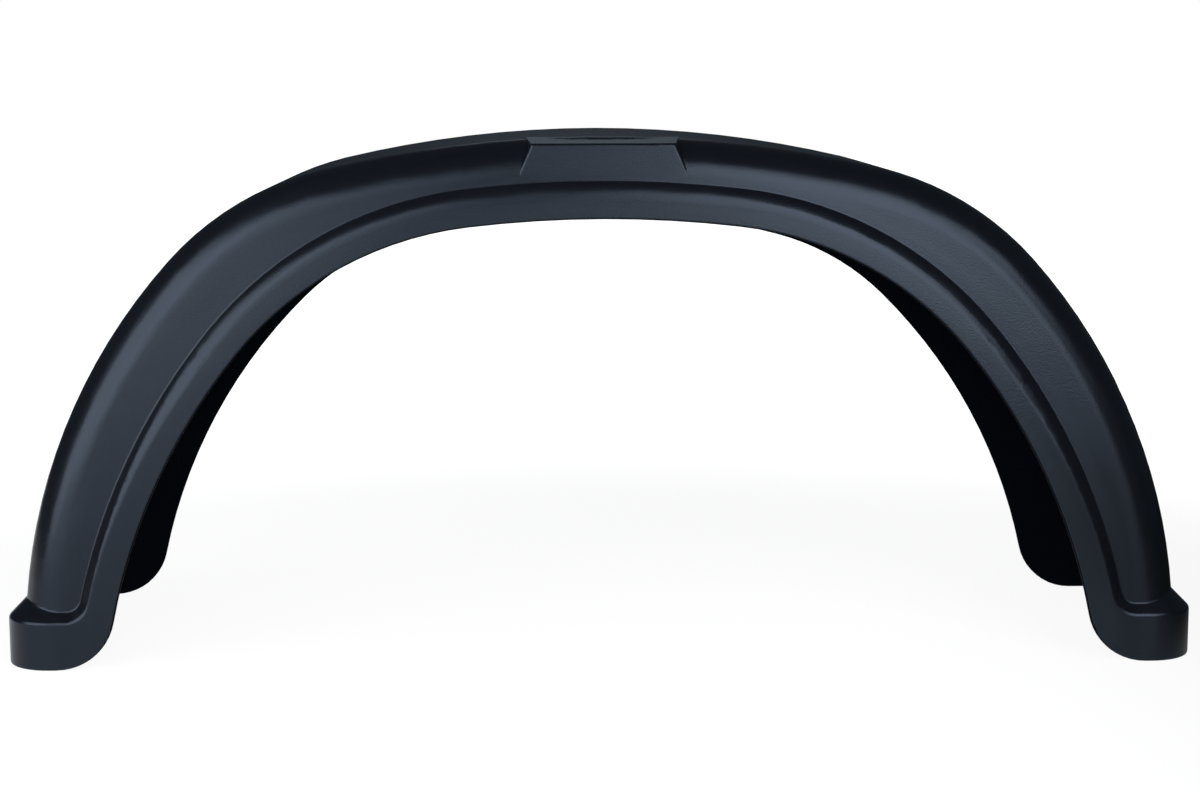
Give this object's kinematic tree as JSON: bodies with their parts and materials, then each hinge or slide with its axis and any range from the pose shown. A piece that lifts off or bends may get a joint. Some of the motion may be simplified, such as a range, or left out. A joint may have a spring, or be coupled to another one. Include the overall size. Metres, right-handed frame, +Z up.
{
  "type": "trailer mudguard",
  "caption": "Arched black plastic mudguard for a single trailer wheel, with a raised rim along the wheel opening, stepped feet, a plain top pad and a flat inner wall for bolting on.",
  "frame": {"origin": "on the ground line of the feet, under the middle of the part", "axes": "+X along the trailer, +Y from the outer rim towards the trailer, +Z up"},
  "size_m": [0.77, 0.22, 0.338],
  "materials": {
    "plastic": "smooth satin black, as moulded"
  },
  "bodies": {
    "root": {"mudguard": "plastic"}
  },
  "joints": []
}
